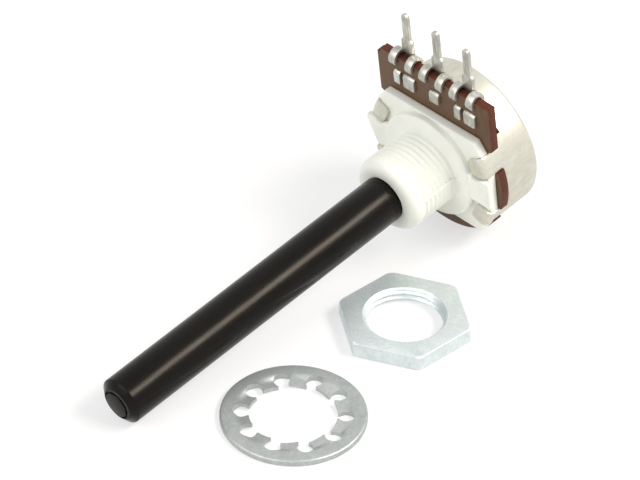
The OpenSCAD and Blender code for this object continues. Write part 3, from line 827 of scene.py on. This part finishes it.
def make_camera():
    """The photograph's view: where it looks, from where, and how far it is rolled."""
    azimuth, elevation = math.radians(CAMERA_AZIMUTH), math.radians(CAMERA_ELEVATION)
    target = Vector((*CAMERA_TARGET, floor_level))
    back = Vector((math.sin(azimuth) * math.cos(elevation),
                   -math.cos(azimuth) * math.cos(elevation), math.sin(elevation)))
    data = bpy.data.cameras.new("camera")
    data.sensor_width = 36
    data.lens = CAMERA_LENS
    data.clip_start, data.clip_end = 0.01, 20
    camera = bpy.data.objects.new("camera", data)
    camera.location = target + back * CAMERA_DISTANCE
    turned = (back.to_track_quat("Z", "Y").to_matrix()
              @ Matrix.Rotation(math.radians(CAMERA_ROLL), 3, "Z"))
    camera.rotation_euler = turned.to_euler()
    bpy.context.scene.collection.objects.link(camera)
    bpy.context.scene.camera = camera


def seen_rays(tree):
    """1 for what the camera sees, straight or in a gloss or a glass, and 0 for other light."""
    path = node(tree, "ShaderNodeLightPath")
    gloss = node(tree, "ShaderNodeMath", {"operation": "MAXIMUM"}, {
        0: path.outputs["Is Camera Ray"], 1: path.outputs["Is Glossy Ray"]})
    glass = node(tree, "ShaderNodeMath", {"operation": "MAXIMUM"}, {
        0: gloss.outputs[0], 1: path.outputs["Is Transmission Ray"]})
    return glass.outputs[0]


def mixed(tree, factor, first, second, output):
    """Mixes two shaders and links them to the output node of a material or a world."""
    mix = node(tree, "ShaderNodeMixShader", inputs={0: factor})
    tree.links.new(first.outputs[0], mix.inputs[1])
    tree.links.new(second.outputs[0], mix.inputs[2])
    tree.links.new(mix.outputs[0], tree.nodes.new(output).inputs["Surface"])


def make_floor():
    bm = bmesh.new()
    bmesh.ops.create_grid(bm, x_segments=1, y_segments=1, size=FLOOR_HALF,
                          matrix=Matrix.Translation((0, 0, floor_level - FLOOR_DROP)))
    mesh = bpy.data.meshes.new("floor")
    bm.to_mesh(mesh)
    bm.free()
    made, tree = new_tree("floor_paper")
    lit = node(tree, "ShaderNodeBsdfDiffuse", inputs={"Color": (0.93, 0.93, 0.93, 1)})
    white = node(tree, "ShaderNodeEmission", inputs={"Color": (1, 1, 1, 1), "Strength": 1.0})
    veil = node(tree, "ShaderNodeMath", {"operation": "MULTIPLY"}, {
        0: seen_rays(tree), 1: FLOOR_WHITE})
    mixed(tree, veil.outputs[0], lit, white, "ShaderNodeOutputMaterial")
    mesh.materials.append(made)
    floor = bpy.data.objects.new("floor", mesh)
    bpy.context.scene.collection.objects.link(floor)


def make_light(name, direction, distance, size, power, tint):
    data = bpy.data.lights.new(name, "AREA")
    data.shape = "RECTANGLE"
    data.size, data.size_y = size
    data.energy = power
    data.color = tint
    light = bpy.data.objects.new(name, data)
    light.location = Vector(direction).normalized() * distance
    light.rotation_euler = Vector(direction).to_track_quat("Z", "Y").to_euler()
    bpy.context.scene.collection.objects.link(light)


def make_world():
    world = bpy.data.worlds.new("studio")
    bpy.context.scene.world = world
    world.use_nodes = True
    tree = world.node_tree
    tree.nodes.clear()
    soft = node(tree, "ShaderNodeBackground", inputs={"Color": (0.98, 0.99, 1, 1), "Strength": 0.5})
    white = node(tree, "ShaderNodeBackground", inputs={"Color": (1, 1, 1, 1), "Strength": 1.0})
    mixed(tree, seen_rays(tree), soft, white, "ShaderNodeOutputWorld")


bpy.context.scene.view_settings.view_transform = "Standard"
make_camera()
make_floor()
make_world()
for light in LIGHTS:
    make_light(*light)

tin_terminal = tinned("tinned_terminal", upright, (1, 0.3, 1),
                      (0.36, 0.355, 0.315), (0.62, 0.615, 0.555), 0.28, 0.46, 0.02, 0.85)
tin_can = tinned("tinned_can", upright, (1.6, 1.6, 0.12),
                 (0.55, 0.535, 0.46), (0.69, 0.675, 0.59), 0.34, 0.50, 0.012, 0.85)
bright_zinc = tinned("bright_zinc", lambda tree: lying(tree, NUT_PLACE, NUT_TURN), (1, 1, 0.5),
                     (0.57, 0.64, 0.65), (0.74, 0.80, 0.805), 0.36, 0.52, 0.012, 0.65)
dull_zinc = tinned("dull_zinc", lambda tree: lying(tree, WASHER_PLACE, WASHER_TURN), (1, 0.5, 1),
                   (0.37, 0.395, 0.39), (0.50, 0.525, 0.515), 0.36, 0.54, 0.010, 0.75)
carbon = grained("carbon_ink", 12.0, 4, (0.012, 0.012, 0.013), (0.03, 0.03, 0.032),
                 0.55, 0.75, 0.005)
silver = grained("silver_ink", 10.0, 4, (0.5, 0.5, 0.48), (0.66, 0.66, 0.63),
                 0.4, 0.6, 0.005, 0.8)
grey = grained("grey_plastic", 4.0, 4, (0.085, 0.085, 0.085), (0.12, 0.12, 0.118),
               0.5, 0.65, 0.01)
spring = grained("spring_metal", 5.0, 5, (0.56, 0.45, 0.24), (0.68, 0.56, 0.32),
                 0.22, 0.38, 0.004, 1.0, stretch=(0.15, 1, 1))

make_shaft(black_plastic())
make_housing(white_plastic())
make_board(board_face(), board_edge())
make_terminal("terminal_left", -PIN_PITCH, OUTER_TABS, tin_terminal)
make_terminal("terminal_middle", 0.0, MIDDLE_TABS, tin_terminal)
make_terminal("terminal_right", PIN_PITCH, OUTER_TABS, tin_terminal)
make_can(tin_can)
make_nut(bright_zinc)
make_washer(dull_zinc)

# The inner pieces are the CAD's own
for name, finish in (("carbon_track", carbon), ("left_end_pad", silver), ("right_end_pad", silver),
                     ("collector_ring", silver), ("rotor", grey), ("wiper", spring)):
    for slot in frame["nodes"][name].material_slots:
        slot.material = finish
